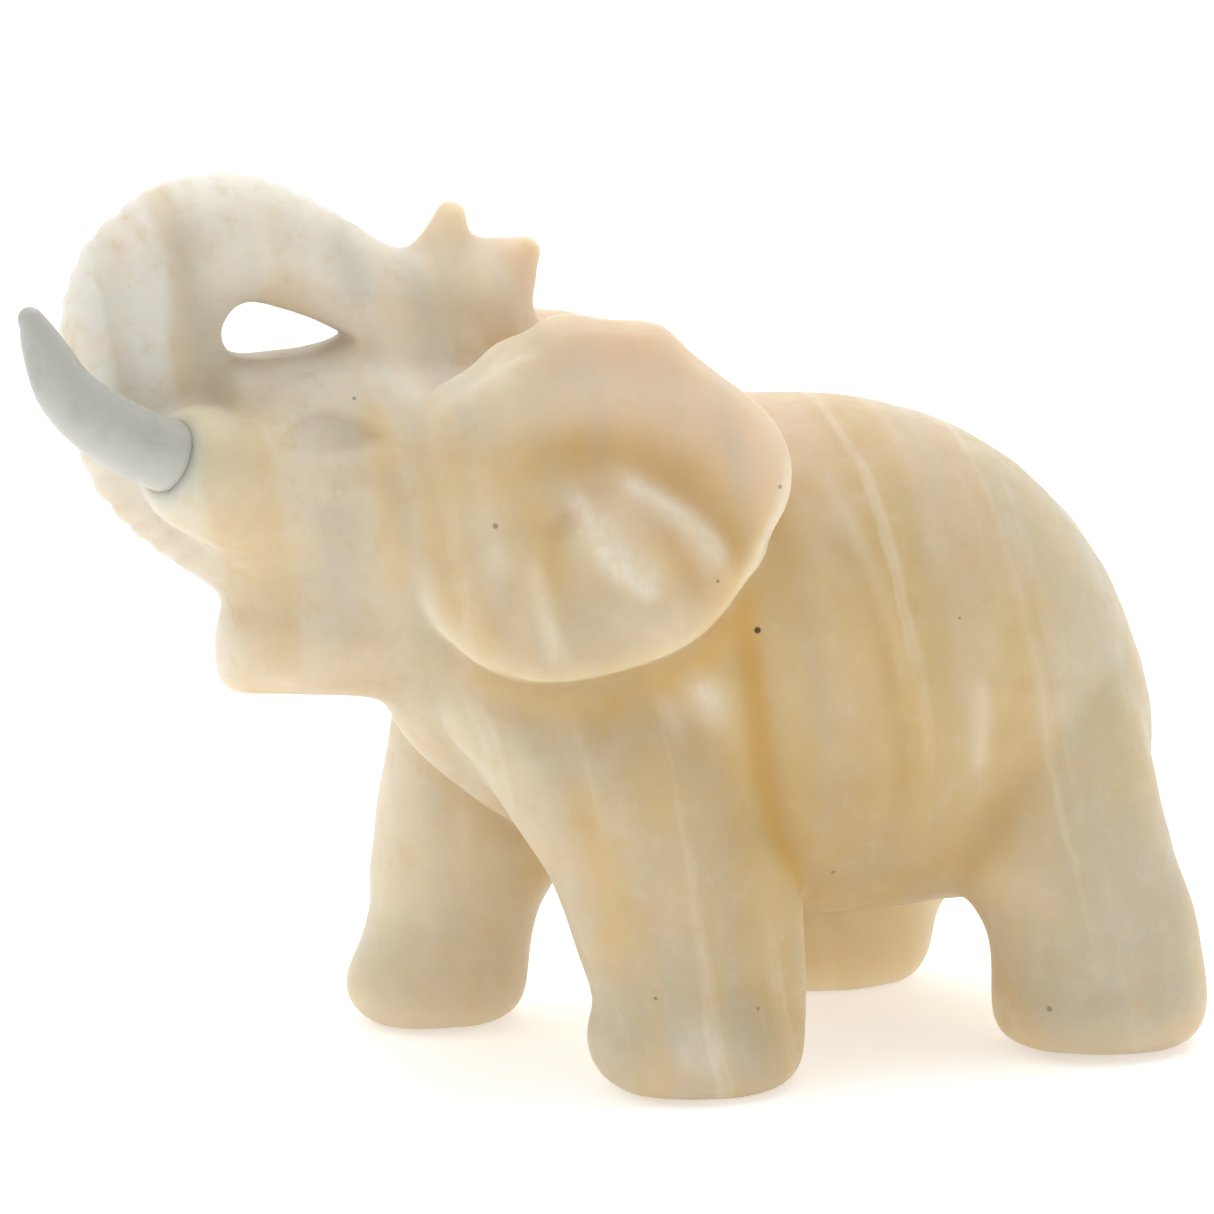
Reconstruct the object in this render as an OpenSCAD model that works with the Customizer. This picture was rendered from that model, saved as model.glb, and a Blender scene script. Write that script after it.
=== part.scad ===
// Carved stone elephant with raised trunk and two inset tusks.
// Millimetres, +Z up, head towards -X, the animal's own left side towards -Y.
// The animal stands on Z = 0. The stone is one block. Each tusk is a separate
// piece with a pin, bedded with a thin skin of adhesive in a drilled socket.

/* [Overall size] */
// Length of the stone from trunk to rump
figure_length = 96; // [80:1:116]
// Height of the stone to the top of the trunk
figure_height = 75; // [62:1:90]
// Width of the stone across the feet
figure_width = 38; // [31:1:46]

/* [Stance] */
// Distance from front feet to hind feet on one side, as a share of the length
wheelbase_share = 0.376; // [0.34:0.004:0.4]
// Distance between the centre lines of left and right feet, as a share of the width
track_share = 0.62; // [0.5:0.01:0.66]
// How far the right feet stand ahead of the left feet, as a share of the length
stride_share = 0.166; // [0.04:0.002:0.18]
// Width of a foot along the body, as a share of the length
foot_share = 0.188; // [0.15:0.002:0.21]

/* [Head] */
// Thickness of the trunk where it leaves the head, as a share of the height
trunk_share = 0.2; // [0.15:0.005:0.22]
// Depth of the dish carved in each ear
ear_dish = 2.4; // [1:0.1:3]
// Width of the almond shape of each eye
eye_size = 7; // [5:0.2:8]

/* [Tusks] */
// Thickness of a tusk where it leaves the cheek
tusk_thickness = 5.8; // [5:0.1:7]
// Length of the left tusk from cheek to point
left_tusk_length = 20; // [15:0.5:25]
// Length of the right tusk from cheek to point
right_tusk_length = 16; // [12:0.5:20]
// Diameter of the pin on the end of each tusk
pin_diameter = 3; // [2.2:0.1:3.8]
// Length of the pin inside the stone
pin_length = 4.5; // [3:0.1:6]
// Thickness of the adhesive skin around and under the pin
glue_thickness = 0.3; // [0.2:0.05:0.5]

/* [Hidden] */

stone_colour = "#dcc9a4";
tusk_colour = "#d9d6cc";
glue_colour = "#cfc8b0";

// The carving is drawn at its natural size and then stretched to the chosen size.
natural = [96, 38, 75];
stretch = [
    figure_length / natural[0],
    figure_width / natural[1],
    figure_height / natural[2]];

// Moves everything so that the origin lies under the middle of the whole piece
centring = [0.2, 0, 0];

// ---- Lofting -------------------------------------------------------------
// A section is [x, y, z, half height, half width], joined smoothly to the next.

function between(a, b, c, d, t) =
    0.5 * (2 * b + (c - a) * t + (2 * a - 5 * b + 4 * c - d) * t * t
    + (3 * b - a - 3 * c + d) * t * t * t);

function eased(list, steps) =
    let (last = len(list) - 1)
    concat(
        [for (i = [0 : last - 1], k = [0 : steps - 1])
            between(list[max(i - 1, 0)], list[i], list[i + 1], list[min(i + 2, last)], k / steps)],
        [list[last]]);

function eased_loop(list, steps) =
    let (n = len(list))
    [for (i = [0 : n - 1], k = [0 : steps - 1])
        between(list[(i + n - 1) % n], list[i], list[(i + 1) % n], list[(i + 2) % n], k / steps)];

function unit(v) = v / norm(v);
function place_of(section) = [section[0], section[1], section[2]];
function softened(v, power) = sign(v) * pow(abs(v), power);
function middle(points) = [for (p = points) 1] * points / len(points);

// Direction of a path at section i, taken from its neighbours
function heading(list, i) =
    unit(place_of(list[min(i + 1, len(list) - 1)]) - place_of(list[max(i - 1, 0)]));

// Points of one oval section across the given direction
function oval(section, direction, sides, power) =
    let (up = unit(cross(direction, [0, 1, 0])))
    let (across = unit(cross(up, direction)))
    [for (j = [0 : sides - 1])
        let (a = 360 * j / sides)
        place_of(section)
            + section[3] * softened(sin(a), power) * up
            + section[4] * softened(cos(a), power) * across];

// Sections that all face one way, as in the barrel of the body or a leg
function straight_rings(list, direction, steps, sides, power = 1) =
    [for (s = eased(list, steps)) oval(s, direction, sides, power)];

// Sections that turn with the path, as in the trunk or a tusk
function turning_rings(list, steps, sides) =
    let (path = eased(list, steps))
    [for (i = [0 : len(path) - 1]) oval(path[i], heading(path, i), sides, 1)];

// Closed skin over a stack of rings with the same number of points
module skin(rings) {
    n = len(rings[0]);
    last = len(rings) - 1;
    ring_points = [for (r = rings) each r];
    points = concat(ring_points, [middle(rings[0]), middle(rings[last])]);
    sides = [for (i = [0 : last - 1], j = [0 : n - 1])
        let (a = i * n + j)
        let (b = i * n + (j + 1) % n)
        each [[a, a + n, b], [a + n, b + n, b]]];
    start_cap = [for (j = [0 : n - 1]) [n * (last + 1), j, (j + 1) % n]];
    end_cap = [for (j = [0 : n - 1])
        [n * (last + 1) + 1, last * n + (j + 1) % n, last * n + j]];
    polyhedron(points, concat(sides, start_cap, end_cap), convexity = 6);
}

// ---- Body, skull and jaw ---------------------------------------------------

// Chest, barrel and rump
barrel_sections = [
    [-19.6, 0, 36.0,  3.0,  3.0],
    [-18.6, 0, 37.0,  8.0,  7.6],
    [-15.0, 0, 39.0, 14.0, 11.6],
    [ -8.0, 0, 38.5, 19.0, 14.2],
    [  2.0, 0, 35.4, 21.2, 15.6],
    [ 11.0, 0, 33.4, 22.2, 16.6],
    [ 20.0, 0, 32.7, 22.5, 17.0],
    [ 28.0, 0, 32.0, 21.2, 16.6],
    [ 35.0, 0, 30.2, 19.2, 15.0],
    [ 40.8, 0, 28.0, 15.8, 12.2],
    [ 44.8, 0, 26.2, 12.0,  9.0],
    [ 47.4, 0, 24.6,  7.6,  5.6],
    [ 48.5, 0, 23.6,  2.0,  1.6]];

// Skull from the neck to the root of the trunk
skull_sections = [
    [ -2, 0, 48.0, 13.8, 11.0],
    [ -8, 0, 47.6, 13.8, 12.2],
    [-15, 0, 47.8, 13.0, 12.0],
    [-21, 0, 48.6, 12.7, 10.8],
    [-28, 0, 49.8, 11.0,  9.0],
    [-33, 0, 51.0,  9.2,  7.4],
    [-36, 0, 52.0,  6.0,  5.6]];

// Lower jaw, narrowing to a pointed lip
jaw_sections = [
    [-12.0, 0, 41.0, 10.0, 11.0],
    [-19.0, 0, 40.2,  8.8, 10.0],
    [-25.0, 0, 39.4,  7.2,  8.0],
    [-29.5, 0, 38.0,  5.4,  5.4],
    [-32.2, 0, 36.8,  4.0,  3.2],
    [-33.2, 0, 36.2,  2.6,  1.6]];

// ---- Trunk -----------------------------------------------------------------

// Trunk thrown up and back over the brow
trunk_sections = [
    [-24.0, 0, 48.5, 7.0, 6.6],
    [-31.4, 0, 49.8, 8.0, 6.8],
    [-36.7, 0, 54.2, 7.5, 6.0],
    [-38.7, 0, 61.3, 6.9, 5.7],
    [-36.9, 0, 66.9, 6.5, 5.5],
    [-31.4, 0, 69.4, 5.7, 5.2],
    [-25.0, 0, 67.2, 5.0, 4.8],
    [-19.4, 0, 64.2, 4.4, 4.5],
    [-14.4, 0, 64.0, 4.6, 4.5],
    [-10.4, 0, 64.6, 4.8, 4.6]];

// Two fingers at the flared end of the trunk
upper_finger = [
    [-15.4, 0, 65.4, 3.4, 3.6],
    [-13.9, 0, 68.2, 2.2, 3.2],
    [-13.3, 0, 71.6, 0.7, 1.4]];
lower_finger = [
    [-12.8, 0, 64.6, 4.4, 4.0],
    [ -9.4, 0, 66.0, 3.2, 3.4],
    [ -6.6, 0, 67.2, 1.5, 1.8]];

module trunk() {
    thicker = trunk_share / 0.2;
    sections = [for (s = trunk_sections) [s[0], s[1], s[2], s[3] * thicker, s[4] * thicker]];
    skin(turning_rings(sections, 3, 20));
    skin(turning_rings(upper_finger, 3, 14));
    skin(turning_rings(lower_finger, 3, 14));
}

// ---- Legs ------------------------------------------------------------------

wheelbase = wheelbase_share * natural[0];
stride = stride_share * natural[0];
foot_length = foot_share * natural[0];
half_track = track_share * natural[1] / 2;
left_front_x = 4.0;

// From hip to sole: [shift of x, shift inward, z, share of foot length, half width]
left_front_leg = [
    [-9.0, 3.0, 38.0, 0.64, 5.0],
    [-8.3, 2.4, 31.3, 0.70, 6.4],
    [-6.2, 1.4, 27.1, 0.66, 7.0],
    [-4.5, 0.7, 22.8, 0.60, 7.2],
    [-2.2, 0.2, 18.4, 0.59, 7.1],
    [-0.7, 0.0, 11.5, 0.53, 6.9],
    [ 0.2, 0.0,  7.1, 0.50, 6.8],
    [-0.1, 0.0,  3.7, 0.50, 7.2],
    [ 0.0, 0.0,  0.9, 0.47, 6.8],
    [ 0.0, 0.0, -1.0, 0.40, 5.8]];

right_front_leg = [
    [ 7.0, 3.0, 37.0, 0.60, 5.0],
    [ 6.6, 2.4, 30.0, 0.60, 6.2],
    [ 5.4, 1.4, 24.3, 0.57, 6.8],
    [ 3.8, 0.6, 19.0, 0.53, 7.0],
    [ 2.4, 0.2, 13.6, 0.48, 6.9],
    [ 1.5, 0.0, 10.4, 0.42, 6.7],
    [ 0.6, 0.0,  7.0, 0.41, 6.7],
    [-0.4, 0.0,  3.1, 0.45, 7.1],
    [-0.2, 0.0,  0.9, 0.42, 6.7],
    [ 0.0, 0.0, -1.0, 0.35, 5.7]];

left_hind_leg = [
    [-5.4, 6.0, 38.0, 0.34, 4.6],
    [-4.4, 4.6, 30.0, 0.46, 6.8],
    [-3.8, 2.4, 22.0, 0.51, 7.6],
    [-3.4, 0.8, 16.4, 0.55, 7.4],
    [-1.5, 0.3, 12.4, 0.53, 7.2],
    [-0.5, 0.0,  9.0, 0.51, 7.0],
    [ 0.0, 0.0,  5.5, 0.52, 7.1],
    [ 0.1, 0.0,  2.8, 0.53, 7.3],
    [ 0.0, 0.0,  0.8, 0.50, 6.9],
    [ 0.0, 0.0, -1.0, 0.43, 5.9]];

right_hind_leg = [
    [ 9.0, 6.0, 38.0, 0.42, 4.6],
    [ 8.4, 4.2, 29.0, 0.62, 6.8],
    [ 6.2, 2.0, 20.0, 0.66, 7.6],
    [ 3.6, 0.6, 13.0, 0.60, 7.2],
    [ 1.8, 0.1,  8.4, 0.54, 7.0],
    [ 0.9, 0.0,  5.3, 0.51, 7.0],
    [ 0.4, 0.0,  2.5, 0.51, 7.1],
    [ 0.1, 0.0,  0.8, 0.47, 6.7],
    [ 0.0, 0.0, -1.0, 0.40, 5.7]];

module leg(profile, foot_x, side) {
    sections = [for (s = profile)
        [foot_x + s[0], side * (half_track - s[1]), s[2], s[3] * foot_length, s[4]]];
    skin(straight_rings(sections, [0, 0, -1], 2, 20, 0.9));
}

module legs() {
    leg(left_front_leg, left_front_x, -1);
    leg(left_hind_leg, left_front_x + wheelbase, -1);
    leg(right_front_leg, left_front_x - stride, 1);
    leg(right_hind_leg, left_front_x - stride + wheelbase, 1);
}

// ---- Ears and eyes ---------------------------------------------------------

// Outline of an ear from the side, [x, z]
ear_outline = [
    [-20.4, 51.6], [-20.4, 44.6], [-17.8, 38.6], [-11.7, 35.6], [-5.2, 35.8],
    [1.5, 38.2], [6.1, 42.3], [9.0, 46.8], [10.2, 51.0], [9.4, 55.2],
    [5.8, 59.2], [0.8, 62.4], [-4.0, 63.4], [-9.2, 62.6], [-14.4, 60.6], [-18.4, 57.2]];

ear_middle = [-6, 49];

// An ear stands further out at the back and leans in at the top.
function ear_reach(p, reach) =
    reach * (1 + 0.005 * (p[0] + 20)) * (1 - 0.0011 * pow(max(p[1] - 48, 0), 2));

// The outline drawn in to a share of its size and raised, at a distance from the centre plane
function ear_ring(share, reach, raised = 0) =
    [for (p = eased_loop(ear_outline, 2))
        let (q = ear_middle + (p - ear_middle) * share)
        [q[0], -ear_reach(p, reach), q[1] + raised]];

module left_ear() {
    front = 16;
    skin([
        ear_ring(0.74, 8.0),
        ear_ring(0.88, 11.6),
        ear_ring(0.97, 13.2),
        ear_ring(1.00, 14.6),
        ear_ring(0.96, front - 0.3),
        ear_ring(0.88, front),
        ear_ring(0.72, front - ear_dish * 0.6, 0.8),
        ear_ring(0.46, front - ear_dish, 2.0),
        ear_ring(0.20, front - ear_dish * 0.9, 2.6)]);
}

module left_eye() {
    long = eye_size / 7;
    sections = [
        [-25.8 - 3.5 * long, -7.9, 54.0, 0.2, 0.2],
        [-25.8 - 2.0 * long, -8.1, 54.6, 1.6 * long, 1.2],
        [-25.8, -8.4, 55.0, 2.2 * long, 1.5],
        [-25.8 + 2.0 * long, -8.7, 55.0, 1.6 * long, 1.2],
        [-25.8 + 3.5 * long, -8.9, 54.8, 0.2, 0.2]];
    skin(turning_rings(sections, 2, 12));
}

// The right ear is carved a little lower than the left.
right_ear_drop = 1.8;

module ears_and_eyes() {
    left_ear();
    left_eye();
    mirror([0, 1, 0]) {
        translate([0, 0, -right_ear_drop])
            left_ear();
        left_eye();
    }
}

// ---- Tusks and their sockets -----------------------------------------------

// Each tusk has its seat on the cheek, and a course that starts square to the seat:
// [forward, outward, up, share of thickness] from the middle of the seat.
left = -1;
right = 1;
left_seat = [-36.8, -8.6, 53.1];
right_seat = [-35.2, 8.6, 52.6];
left_facing = unit([-0.85, -0.36, 0.39]);
right_facing = unit([-0.47, 0.55, 0.69]);

left_course = [
    [ 0.0, 0.0,  0.0, 0.50],
    [ 3.7, 1.6,  1.8, 0.485],
    [ 7.2, 2.8,  4.0, 0.455],
    [ 9.7, 3.6,  6.4, 0.40],
    [11.1, 4.0,  9.1, 0.32],
    [12.1, 4.1, 11.6, 0.21],
    [12.6, 4.0, 13.1, 0.06]];
right_course = [
    [0.0, 0.0,  0.0, 0.50],
    [1.9, 2.1,  2.8, 0.48],
    [3.1, 3.0,  6.1, 0.43],
    [3.6, 3.3,  9.4, 0.36],
    [3.4, 3.3, 12.0, 0.27],
    [2.8, 3.1, 14.0, 0.17],
    [2.4, 3.0, 15.0, 0.05]];

pin_radius = pin_diameter / 2;
socket_radius = pin_radius + glue_thickness;
socket_depth = pin_length + glue_thickness;
seat_radius = tusk_thickness / 2 + 0.25;

function seat(side) =
    let (s = side == left ? left_seat : right_seat)
    [s[0] * stretch[0], s[1] * stretch[1], s[2] * stretch[2]];
function facing(side) = side == left ? left_facing : right_facing;

// Turns a piece drawn along +Z so that it points out of the cheek
module at_seat(side) {
    way = facing(side);
    translate(seat(side))
        rotate([0, acos(way[2]), atan2(way[1], way[0])])
            children();
}

// Collar of stone that swells from the cheek around the pin and stops at the seat
module collar(side) {
    rings = [[-9.5, 3.2], [-7, 4.6], [-3, 4.7], [0, 4.3], [0.9, 3.8]];
    sections = [for (r = rings)
        let (p = seat(side) + facing(side) * r[0])
        [p[0], p[1], p[2], r[1] * tusk_thickness / 5.8, r[1] * tusk_thickness / 5.8]];
    skin(turning_rings(sections, 2, 20));
}

// Room cut in the stone for the shoulder of the tusk and for its pin
module socket(side) {
    at_seat(side) {
        cylinder(r = seat_radius, h = 3);
        translate([0, 0, -socket_depth])
            cylinder(r = socket_radius, h = socket_depth + 1);
    }
}

module tusk(side) {
    course = side == left ? left_course : right_course;
    longer = side == left ? left_tusk_length / 20 : right_tusk_length / 16;
    base = seat(side);
    sections = [for (s = course)
        [base[0] - s[0] * longer, base[1] + side * s[1] * longer, base[2] + s[2] * longer,
         s[3] * tusk_thickness, s[3] * tusk_thickness]];
    turned = turning_rings(sections, 3, 18);
    square_start = [oval(sections[0], facing(side), 18, 1)];
    skin(concat(square_start, [for (i = [1 : len(turned) - 1]) turned[i]]));
    at_seat(side)
        translate([0, 0, -pin_length])
            cylinder(r = pin_radius, h = pin_length + 1);
}

module glue_skin(side) {
    at_seat(side)
        difference() {
            translate([0, 0, -socket_depth])
                cylinder(r = socket_radius, h = socket_depth);
            translate([0, 0, -pin_length])
                cylinder(r = pin_radius, h = pin_length + 1);
        }
}

// ---- Pieces ----------------------------------------------------------------

module rough_stone() {
    resize([0, 0, 0]) {
        scale(stretch) {
            skin(straight_rings(barrel_sections, [1, 0, 0], 2, 28));
            skin(straight_rings(skull_sections, [-1, 0, 0], 2, 28));
            skin(straight_rings(jaw_sections, [-1, 0, 0], 2, 20));
            trunk();
            legs();
            ears_and_eyes();
        }
        collar(left);
        collar(right);
    }
}

module carved_body() {
    color(stone_colour)
        translate(centring)
            difference() {
                rough_stone();
                translate([-100, -100, -10])
                    cube([200, 200, 10]);
                socket(left);
                socket(right);
            }
}

module left_tusk() {
    color(tusk_colour)
        translate(centring)
            tusk(left);
}

module right_tusk() {
    color(tusk_colour)
        translate(centring)
            tusk(right);
}

module left_tusk_glue() {
    color(glue_colour)
        translate(centring)
            glue_skin(left);
}

module right_tusk_glue() {
    color(glue_colour)
        translate(centring)
            glue_skin(right);
}

carved_body();
left_tusk();
right_tusk();
left_tusk_glue();
right_tusk_glue();
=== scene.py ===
# %% [markdown]
# This lesson makes the looks of a small carved elephant with a raised trunk. It is taken to be
# a single block of pale banded onyx, shaped on a grinding wheel and by file, then polished,
# with two cast tusks glued into drilled holes. The shapes start from the frame, the packed
# design, so the first step is to load it and to note the size it gives.

# %% Load the frame
import bpy
import numpy as np
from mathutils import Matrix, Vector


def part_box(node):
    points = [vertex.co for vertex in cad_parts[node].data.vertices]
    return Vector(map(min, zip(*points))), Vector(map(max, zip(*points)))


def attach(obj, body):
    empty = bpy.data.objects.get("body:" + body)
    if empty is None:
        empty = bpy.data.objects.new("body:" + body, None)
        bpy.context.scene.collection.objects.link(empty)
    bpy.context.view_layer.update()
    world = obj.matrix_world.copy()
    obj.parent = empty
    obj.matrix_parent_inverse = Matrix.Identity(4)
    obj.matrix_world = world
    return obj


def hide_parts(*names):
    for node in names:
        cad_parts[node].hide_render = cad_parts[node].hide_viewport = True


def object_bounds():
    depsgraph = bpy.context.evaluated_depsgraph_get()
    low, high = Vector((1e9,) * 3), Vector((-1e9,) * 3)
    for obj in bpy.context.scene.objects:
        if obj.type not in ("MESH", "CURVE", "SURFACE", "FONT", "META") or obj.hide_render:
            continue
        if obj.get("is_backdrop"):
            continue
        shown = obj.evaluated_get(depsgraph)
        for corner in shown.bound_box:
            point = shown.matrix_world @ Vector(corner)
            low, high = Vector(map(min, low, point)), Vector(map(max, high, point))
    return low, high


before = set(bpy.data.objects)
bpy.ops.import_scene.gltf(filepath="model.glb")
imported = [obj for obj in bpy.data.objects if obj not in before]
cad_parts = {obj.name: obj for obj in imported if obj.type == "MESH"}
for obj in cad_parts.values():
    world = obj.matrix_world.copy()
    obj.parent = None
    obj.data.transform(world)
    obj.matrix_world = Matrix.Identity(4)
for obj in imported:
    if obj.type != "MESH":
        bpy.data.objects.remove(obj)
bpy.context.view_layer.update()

import openvdb as vdb
from mathutils import Vector

# %% [markdown]
# A carver thinks in distances from the front of the block and from its base. The same is done
# here: every place on the stone is given in millimetres behind the foremost point of the trunk
# ("along"), out from the centre plane ("across") and above the soles ("up"). The numbers are
# right for a stone of the size below, and are stretched to the box that the frame gives, so a
# resized design keeps its carving in the right places.

# %% The stone's own ruler
WRITTEN_FOR = np.array([95.36, 37.96, 75.1])
low, high = (np.array(corner) * 1000.0 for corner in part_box("carved_body"))
stretch = (high - low) / WRITTEN_FOR
ruler_zero = np.array([low[0], (low[1] + high[1]) / 2.0, low[2]])


def on_ruler(points):
    """Places in metres, as millimetres along, across and up."""
    return (np.asarray(points, float) * 1000.0 - ruler_zero) / stretch


def in_metres(places):
    """Millimetres along, across and up, as places in metres."""
    return (np.asarray(places, float) * stretch + ruler_zero) / 1000.0


print("stone in millimetres:", (high - low).round(2), "stretch:", stretch.round(3))

# %% [markdown]
# Facets and sharp joins tell at once that a shape came from a design program, and a ground and
# polished stone has neither. Subdividing the facets would keep every join where the legs meet
# the belly. Instead the design is turned into a block of small cells that each hold the
# distance to the surface, below zero inside the stone. Blurring those distances is what a
# grinding wheel does, and adding or taking away a little distance is what a file does.

# %% Turn the design into a block of distances
CELL = 0.48
REACH = 10.0
MARGIN = 3.0
block_low = np.array([-MARGIN, -WRITTEN_FOR[1] / 2 - MARGIN, -MARGIN])
block_cells = np.ceil((WRITTEN_FOR + 2 * MARGIN) / CELL).astype(int) + 1
first_cell = np.round(block_low / CELL).astype(int)
cell_grid = vdb.createLinearTransform(voxelSize=CELL)


def mesh_arrays(node_name):
    """The corner places in metres and the triangles of a design node."""
    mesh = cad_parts[node_name].data
    mesh.calc_loop_triangles()
    corners = np.empty(len(mesh.vertices) * 3)
    mesh.vertices.foreach_get("co", corners)
    triangles = np.empty(len(mesh.loop_triangles) * 3, np.int32)
    mesh.loop_triangles.foreach_get("vertices", triangles)
    corners, same = np.unique(corners.reshape(-1, 3).round(7), axis=0, return_inverse=True)
    triangles = same.reshape(-1)[triangles].reshape(-1, 3)
    solid = [len(set(row)) == 3 for row in triangles.tolist()]
    return corners, triangles[solid]


corners, triangles = mesh_arrays("carved_body")
design_grid = vdb.FloatGrid.createLevelSetFromPolygons(
    on_ruler(corners).astype(np.float32),
    triangles=triangles.astype(np.uint32),
    transform=cell_grid,
    halfWidth=REACH)
designed = np.empty(block_cells, np.float32)
design_grid.copyToArray(designed, ijk=tuple(int(i) for i in first_cell))
along, across, up = [
    (first_cell[axis] + np.arange(block_cells[axis])) * CELL for axis in range(3)]
print("block of cells:", designed.shape, "inside:", int((designed < 0).sum()))

# %% [markdown]
# The blur is a weighted mean over neighbouring cells, done along one axis after another. A
# light blur rounds every edge by under a millimetre, as polishing does. A wide blur is let in
# only where it would add stone, mostly in the creases round the hips, shoulders and jaw,
# because the carver leaves those full and lets one form flow into the next. The cheeks in front
# of the ears are levelled both ways, the trunk's opening and fingers stay crisp, and the edges
# of the soles are rounded. Rounded lumps then build up the end of the trunk.

# %% Grind the facets and fill the creases


def blurred(block, spread):
    """The block with each cell a weighted mean of those within a few spreads (mm)."""
    reach = int(np.ceil(3 * spread / CELL))
    weights = np.exp(-0.5 * (np.arange(-reach, reach + 1) * CELL / spread) ** 2)
    weights /= weights.sum()
    for axis in range(block.ndim):
        padding = [(reach, reach) if a == axis else (0, 0) for a in range(block.ndim)]
        padded = np.pad(block, padding, mode="edge")
        total = np.zeros_like(block)
        for step, weight in enumerate(weights):
            part = [slice(None)] * block.ndim
            part[axis] = slice(step, step + block.shape[axis])
            total += np.float32(weight) * padded[tuple(part)]
        block = total
    return block


def blob(centre, size):
    """One at a place in the block and fading to nothing a few sizes away, on both sides."""
    a = ((along - centre[0]) / size[0])[:, None, None]
    c = ((np.abs(across) - centre[1]) / size[1])[None, :, None]
    u = ((up - centre[2]) / size[2])[None, None, :]
    return np.exp(-(a * a + c * c + u * u)).astype(np.float32)


FULL_PLACES = [
    ((34, 10, 32), (9, 8, 10)),
    ((53, 12, 26), (7, 8, 14)),
    ((70, 13, 34), (8, 8, 14)),
    ((68, 9, 17), (8, 8, 7)),
    ((84, 13, 38), (9, 9, 9)),
    ((22, 6, 41), (9, 7, 6)),
    ((12, 8, 50), (7, 7, 8)),
    ((31, 5, 63), (6.5, 7, 5)),
    ((45, 3, 12), (30, 5, 6)),
    ((44, 3, 59), (8, 7, 7)),
]
LEVEL_PLACES = [
    ((20, 9, 54), (6, 5, 5)),
    ((24, 13, 49), (4.5, 7, 10)),
    ((22, 7, 42), (9, 7, 4)),
]
KEPT_PLACES = [
    ((17.5, 0, 62.3), (6.0, 9, 3.2)),
    ((33, 0, 72), (7, 7, 4)),
]
SOLE_ROUNDING = 2.4
SOLE_SHARE = 0.8
LEAST_FULLNESS = 0.35
POLISH_BLUR = 0.8
CREASE_BLUR = 2.6
LEVEL_BLUR = 2.4
CRISP_BLUR = 0.35
SOLE_BLUR = 1.5


def all_blobs(places):
    """The strongest of several blobs in each cell."""
    strongest = np.zeros_like(designed)
    for centre, size in places:
        strongest = np.maximum(strongest, blob(centre, size))
    return strongest


stone = blurred(designed, POLISH_BLUR)
wide = blurred(stone, CREASE_BLUR)
kept = all_blobs(KEPT_PLACES)
fullness = all_blobs(FULL_PLACES) * (1 - kept)
fullness = np.maximum(fullness, LEAST_FULLNESS * (1 - kept))
stone -= fullness * np.maximum(stone - wide, 0.0)
level = all_blobs(LEVEL_PLACES)
stone += level * (blurred(wide, LEVEL_BLUR) - stone)
stone += kept * (blurred(designed, CRISP_BLUR) - stone)
low_down = np.exp(-(np.maximum(up, 0) / SOLE_ROUNDING) ** 2).astype(np.float32)
stone += SOLE_SHARE * low_down[None, None, :] * (blurred(designed, SOLE_BLUR) - stone)
print("cells filled in the creases:", int(((designed > 0) & (stone < 0)).sum()))


def lump(start, end, radii, blend):
    """Adds a rounded, tapering lump of stone that flows into what is there."""
    start, end = np.array(start, float), np.array(end, float)
    span = end - start
    a = along[:, None, None] - start[0]
    c = across[None, :, None] - start[1]
    u = up[None, None, :] - start[2]
    share = np.clip((a * span[0] + c * span[1] + u * span[2]) / (span @ span), 0, 1)
    off = [part - share * step for part, step in zip((a, c, u), span)]
    gap = np.sqrt(off[0] ** 2 + off[1] ** 2 + off[2] ** 2)
    gap -= radii[0] + share * (radii[1] - radii[0])
    mix = np.clip(0.5 + 0.5 * (stone - gap) / blend, 0, 1)
    stone[...] = stone + (gap - stone) * mix - blend * mix * (1 - mix)


# The trunk lies on the crown in one piece, and ends in two stubby fingers
lump((27.6, 0, 62.4), (33.0, 0, 61.8), (4.6, 5.2), 3.0)
lump((31.0, 0, 67.6), (32.0, 0, 71.0), (2.4, 0.95), 0.8)
lump((35.6, 0, 66.4), (38.3, 0, 67.8), (2.6, 1.3), 0.8)

# %% [markdown]
# File and burr marks follow lines drawn on the side of the figure. Each line is a few places
# (along, up) with a smooth curve through them. The distance from every column of the block to
# the curve gives the profile of the cut, and a fade at the ends lets it run out as a burr does.
# A cut with a negative depth leaves a ridge standing instead.

# %% Burr lines on the side of the stone


def smooth_route(places, steps=6):
    """A smooth curve through a few places, as closely spaced points."""
    p = np.asarray(places, float)
    p = np.vstack([2 * p[0] - p[1], p, 2 * p[-1] - p[-2]])
    t = np.linspace(0, 1, steps, endpoint=False)[:, None]
    route = []
    for a, b, c, d in zip(p[:-3], p[1:-2], p[2:-1], p[3:]):
        route.append(0.5 * (2 * b + (c - a) * t + (2 * a - 5 * b + 4 * c - d) * t ** 2
                            + (3 * b - a - 3 * c + d) * t ** 3))
    return np.vstack(route + [p[-2:-1]])


def beside(route):
    """For each column of the block: distance to the route, and how far along it (mm)."""
    columns = np.stack(np.meshgrid(along, up, indexing="ij"), -1)
    nearest = np.full(columns.shape[:2], 1e9)
    travelled = np.zeros_like(nearest)
    gone = 0.0
    for start, end in zip(route[:-1], route[1:]):
        span = end - start
        length = np.hypot(*span)
        share = np.clip(((columns - start) @ span) / length ** 2, 0, 1)
        gap = np.hypot(*np.moveaxis(columns - start - share[..., None] * span, -1, 0))
        closer = gap < nearest
        nearest[closer] = gap[closer]
        travelled[closer] = (gone + share * length)[closer]
        gone += length
    return nearest, travelled, gone


def outer_side(side, inner=4.0, fade=3.0):
    """One on one side of the figure, nothing on the other (side -1 is its left)."""
    return np.clip((across * side - inner) / fade, 0, 1).astype(np.float32)[None, :, None]


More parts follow.
